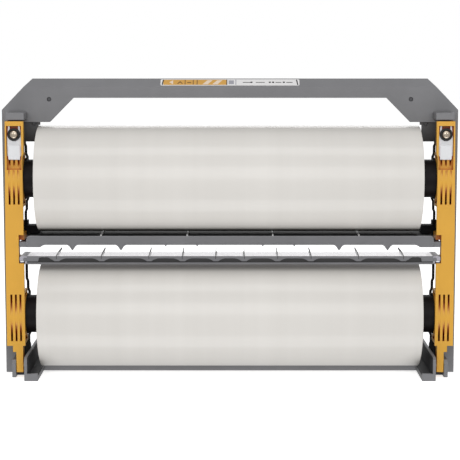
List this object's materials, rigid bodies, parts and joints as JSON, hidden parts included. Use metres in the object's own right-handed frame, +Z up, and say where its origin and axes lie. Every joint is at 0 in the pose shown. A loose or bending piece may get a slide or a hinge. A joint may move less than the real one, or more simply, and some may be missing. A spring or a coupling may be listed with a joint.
{
  "type": "laminating film cartridge",
  "caption": "Two-roll film supply frame for a roll laminator: carry bridge, swinging latched side arms, film guide and two film rolls on end plugs.",
  "frame": {"origin": "middle of the base, on the surface it stands on", "axes": "+X to the right seen from the film mouth side, -Y out of the film mouth towards the front, +Z up"},
  "size_m": [0.3644, 0.1024, 0.238],
  "materials": {
    "frame_grey": "satin moulded",
    "rail_black": "matt moulded",
    "plug_black": "satin moulded",
    "arm_yellow": "satin moulded",
    "latch_white": "satin moulded",
    "guide_grey": "satin moulded",
    "guide_clear": "frosted clear",
    "film": "wound frosted clear film",
    "core_board": "wound board",
    "label": "printed",
    "screw_steel": "zinc plated",
    "screw_dark": "blackened",
    "washer_rubber": "matt",
    "felt": "pressed felt"
  },
  "bodies": {
    "frame": {"bridge_handle": "frame_grey", "frame_screws": "screw_dark", "label_plate": "label", "right_side_frame": "frame_grey", "left_side_frame": "frame_grey", "right_bearing_rail": "rail_black", "left_bearing_rail": "rail_black", "right_cap_block": "frame_grey", "left_cap_block": "frame_grey", "base_tray": "frame_grey", "base_screws": "screw_steel", "pivot_pins": "screw_steel", "right_foot_liner": "rail_black", "left_foot_liner": "rail_black", "upper_guide_jaw": "guide_grey", "guide_carrier": "rail_black", "lower_guide_jaw": "guide_clear", "guide_fins": "guide_clear", "guide_screws": "screw_steel"},
    "upper_roll": {"upper_film": "film", "upper_core_tube": "core_board", "upper_right_plug": "plug_black", "upper_left_plug": "plug_black"},
    "lower_roll": {"lower_film": "film", "lower_core_tube": "core_board", "lower_right_plug": "plug_black", "lower_left_plug": "plug_black"},
    "right_side_arm": {"right_arm": "arm_yellow", "right_brake_pads": "felt", "right_latch_screw": "screw_steel", "right_latch_washer": "washer_rubber"},
    "right_latch_slide": {"right_latch": "latch_white"},
    "left_side_arm": {"left_arm": "arm_yellow", "left_brake_pads": "felt", "left_latch_screw": "screw_steel", "left_latch_washer": "washer_rubber"},
    "left_latch_slide": {"left_latch": "latch_white"}
  },
  "joints": [
    {"name": "upper_roll_spin", "type": "hinge", "parent": "frame", "child": "upper_roll", "pos_m": [0, -0.009, 0.1584], "axis": [1, 0, 0], "continuous": true},
    {"name": "lower_roll_spin", "type": "hinge", "parent": "frame", "child": "lower_roll", "pos_m": [0, -0.009, 0.0485], "axis": [1, 0, 0], "continuous": true},
    {"name": "right_arm_swing", "type": "hinge", "parent": "frame", "child": "right_side_arm", "pos_m": [0.1685, -0.024, 0.009], "axis": [1, 0, 0], "range_deg": [0, 70]},
    {"name": "right_latch_lift", "type": "slide", "parent": "right_side_arm", "child": "right_latch_slide", "axis": [0, 0, 1], "range_m": [0, 0.0032]},
    {"name": "left_arm_swing", "type": "hinge", "parent": "frame", "child": "left_side_arm", "pos_m": [-0.1685, -0.024, 0.009], "axis": [1, 0, 0], "range_deg": [0, 70]},
    {"name": "left_latch_lift", "type": "slide", "parent": "left_side_arm", "child": "left_latch_slide", "axis": [0, 0, 1], "range_m": [0, 0.0032]}
  ]
}
